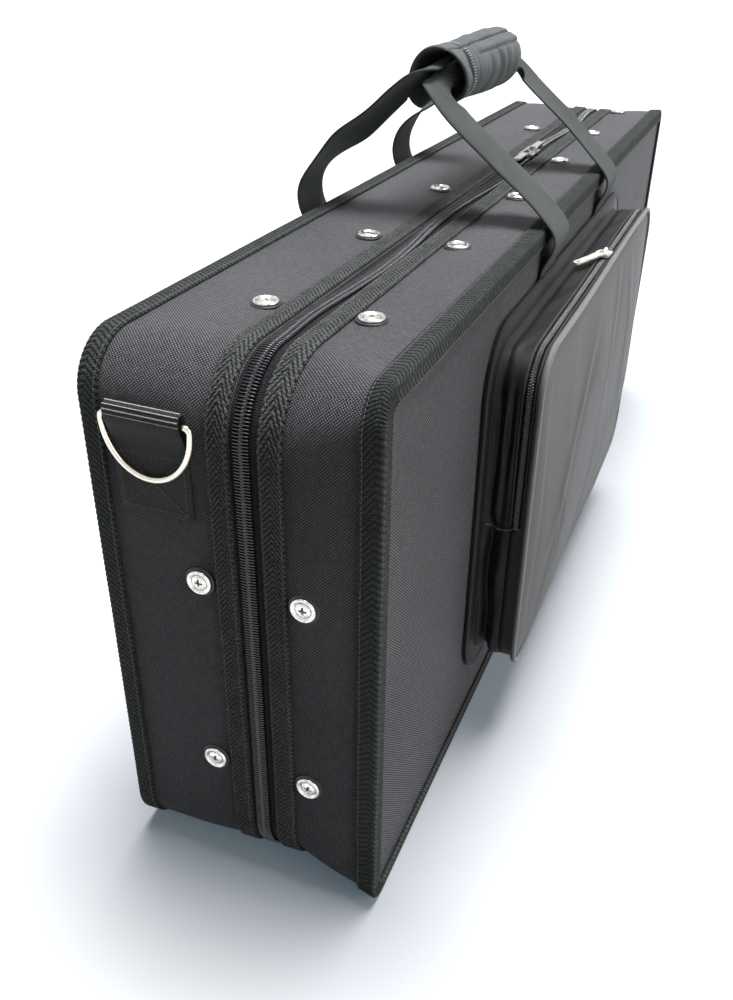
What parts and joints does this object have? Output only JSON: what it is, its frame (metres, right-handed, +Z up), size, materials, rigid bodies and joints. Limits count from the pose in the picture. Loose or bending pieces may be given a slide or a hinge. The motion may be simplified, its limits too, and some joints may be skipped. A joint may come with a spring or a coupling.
{
  "type": "pedalboard case",
  "caption": "Soft-sided carrying case for a pedalboard, with zip-round hinged lid, zipped front pocket, paired webbing handles with a padded grip, and end rings for a shoulder strap.",
  "frame": {"origin": "middle of the long lower edge that the case stands on, at the floor, half-way between its rear and lid faces", "axes": "+X along the length from the end seen near in the picture to the far end, +Y from the lid and pocket towards the rear of the base, +Z up"},
  "size_m": [0.7924, 0.2056, 0.4084],
  "materials": {
    "nylon": "black coated nylon weave over stiff board, slight sheen",
    "binding": "black herringbone tape",
    "foam": "dark grey foam with a brushed cloth face",
    "board": "black plastic strip",
    "zip_coil": "black nylon coil on woven tape",
    "webbing": "charcoal woven webbing",
    "grip_fabric": "charcoal padded fabric",
    "chrome": "bright nickel plate",
    "pocket_fabric": "smooth dark grey nylon with a satin sheen",
    "piping": "grey silver piping"
  },
  "bodies": {
    "base": {"base_shell": "nylon", "base_lining": "foam", "base_stiffener": "board", "base_edge_binding": "binding", "base_guard_tape": "binding", "base_zip_half": "zip_coil", "base_hinge_tape": "binding", "base_top_screw_1": "chrome", "base_top_screw_2": "chrome", "base_top_screw_3": "chrome", "base_top_screw_4": "chrome", "base_top_screw_5": "chrome", "base_top_screw_6": "chrome", "base_near_screw_1": "chrome", "base_near_screw_2": "chrome", "base_far_screw_1": "chrome", "base_far_screw_2": "chrome", "rear_strap_near": "webbing", "rear_strap_far": "webbing", "near_d_ring_loop": "webbing", "far_d_ring_loop": "webbing"},
    "lid": {"lid_shell": "nylon", "lid_lining": "foam", "lid_stiffener": "board", "lid_edge_binding": "binding", "lid_guard_tape": "binding", "lid_zip_half": "zip_coil", "lid_hinge_tape": "binding", "lid_top_screw_1": "chrome", "lid_top_screw_2": "chrome", "lid_top_screw_3": "chrome", "lid_top_screw_4": "chrome", "lid_top_screw_5": "chrome", "lid_top_screw_6": "chrome", "lid_near_screw_1": "chrome", "lid_near_screw_2": "chrome", "lid_far_screw_1": "chrome", "lid_far_screw_2": "chrome", "front_strap_near": "webbing", "front_strap_far": "webbing", "pocket_rear_panel": "pocket_fabric", "pocket_lower_panel": "pocket_fabric", "pocket_lower_piping": "piping", "pocket_rear_zip_half": "zip_coil"},
    "front_handle": {"front_handle_loop": "webbing", "grip_front_half": "grip_fabric"},
    "rear_handle": {"rear_handle_loop": "webbing", "grip_rear_half": "grip_fabric"},
    "near_slider": {"near_zip_slider": "chrome"},
    "near_tab": {"near_pull_tab": "chrome"},
    "far_slider": {"far_zip_slider": "chrome"},
    "far_tab": {"far_pull_tab": "chrome"},
    "near_ring": {"near_d_ring": "chrome"},
    "far_ring": {"far_d_ring": "chrome"},
    "flap": {"pocket_flap": "pocket_fabric", "pocket_flap_piping": "piping", "pocket_flap_zip_half": "zip_coil"},
    "pocket_slider": {"pocket_zip_slider": "chrome"},
    "pocket_tab": {"pocket_pull_tab": "chrome"}
  },
  "joints": [
    {"name": "lid_hinge", "type": "hinge", "parent": "base", "child": "lid", "pos_m": [0, -0.008, -0.0003], "axis": [1, 0, 0], "range_deg": [0, 180]},
    {"name": "front_handle_fold", "type": "hinge", "parent": "lid", "child": "front_handle", "pos_m": [-0.0215, -0.0769, 0.3], "axis": [1, 0, 0], "range_deg": [0, 145]},
    {"name": "rear_handle_fold", "type": "hinge", "parent": "base", "child": "rear_handle", "pos_m": [-0.0215, 0.0769, 0.3], "axis": [-1, 0, 0], "range_deg": [0, 125]},
    {"name": "near_slider_run", "type": "slide", "parent": "base", "child": "near_slider", "axis": [-1, 0, 0], "range_m": [0, 0.435]},
    {"name": "near_tab_hinge", "type": "hinge", "parent": "near_slider", "child": "near_tab", "pos_m": [0.09, -0.008, 0.3146], "axis": [0, 1, 0], "range_deg": [0, 120]},
    {"name": "far_slider_run", "type": "slide", "parent": "base", "child": "far_slider", "axis": [1, 0, 0], "range_m": [0, 0.241]},
    {"name": "far_tab_hinge", "type": "hinge", "parent": "far_slider", "child": "far_tab", "pos_m": [0.104, -0.008, 0.3146], "axis": [0, -1, 0], "range_deg": [0, 120]},
    {"name": "near_ring_hinge", "type": "hinge", "parent": "base", "child": "near_ring", "pos_m": [-0.3925, 0.038, 0.281], "axis": [0, 1, 0], "range_deg": [0, 165]},
    {"name": "far_ring_hinge", "type": "hinge", "parent": "base", "child": "far_ring", "pos_m": [0.3925, 0.038, 0.281], "axis": [0, -1, 0], "range_deg": [0, 165]},
    {"name": "pocket_flap_fold", "type": "hinge", "parent": "lid", "child": "flap", "pos_m": [-0.043, -0.1143, 0.162], "axis": [1, 0, 0], "range_deg": [0, 150]},
    {"name": "pocket_slider_run", "type": "slide", "parent": "lid", "child": "pocket_slider", "axis": [1, 0, 0], "range_m": [-0.166, 0.128]},
    {"name": "pocket_tab_hinge", "type": "hinge", "parent": "pocket_slider", "child": "pocket_tab", "pos_m": [-0.024, -0.0978, 0.2748], "axis": [0.342, 0.9397, 0], "range_deg": [0, 160]}
  ]
}
